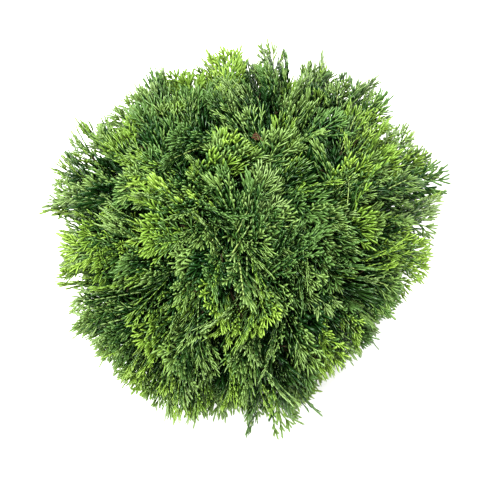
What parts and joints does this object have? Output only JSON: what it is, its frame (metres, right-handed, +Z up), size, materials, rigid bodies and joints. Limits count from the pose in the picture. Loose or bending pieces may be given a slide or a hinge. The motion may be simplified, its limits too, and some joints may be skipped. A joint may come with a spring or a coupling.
{
  "type": "danica eastern arborvitae",
  "caption": "Dwarf eastern arborvitae that grows as a dense green globe of flat scaly sprays, on a short stem that forks low inside it.",
  "frame": {"origin": "centre of the stem's flat cut at ground level", "axes": "+Z up, -Y towards the front of the plant, +X to its right seen from the front"},
  "size_m": [0.4009, 0.3802, 0.3251],
  "materials": {
    "bark": "fibrous reddish brown bark",
    "young_foliage": "satin scale leaves, light green with yellow-green tips",
    "grown_foliage": "satin scale leaves, mid green",
    "shaded_foliage": "satin scale leaves, dark green"
  },
  "bodies": {
    "root": {"trunk": "bark", "bough_top": "bark", "foliage_top": "young_foliage", "bough_upper_1": "bark", "foliage_upper_1": "young_foliage", "bough_upper_2": "bark", "foliage_upper_2": "young_foliage", "bough_upper_3": "bark", "foliage_upper_3": "young_foliage", "bough_upper_4": "bark", "foliage_upper_4": "young_foliage", "bough_upper_5": "bark", "foliage_upper_5": "young_foliage", "bough_upper_6": "bark", "foliage_upper_6": "young_foliage", "bough_middle_1": "bark", "foliage_middle_1": "grown_foliage", "bough_middle_2": "bark", "foliage_middle_2": "grown_foliage", "bough_middle_3": "bark", "foliage_middle_3": "grown_foliage", "bough_middle_4": "bark", "foliage_middle_4": "grown_foliage", "bough_middle_5": "bark", "foliage_middle_5": "grown_foliage", "bough_middle_6": "bark", "foliage_middle_6": "grown_foliage", "bough_middle_7": "bark", "foliage_middle_7": "grown_foliage", "bough_middle_8": "bark", "foliage_middle_8": "grown_foliage", "bough_middle_9": "bark", "foliage_middle_9": "grown_foliage", "bough_lower_1": "bark", "foliage_lower_1": "shaded_foliage", "bough_lower_2": "bark", "foliage_lower_2": "shaded_foliage", "bough_lower_3": "bark", "foliage_lower_3": "shaded_foliage", "bough_lower_4": "bark", "foliage_lower_4": "shaded_foliage", "bough_lower_5": "bark", "foliage_lower_5": "shaded_foliage", "bough_lower_6": "bark", "foliage_lower_6": "shaded_foliage", "bough_lower_7": "bark", "foliage_lower_7": "shaded_foliage", "bough_lower_8": "bark", "foliage_lower_8": "shaded_foliage"}
  },
  "joints": []
}
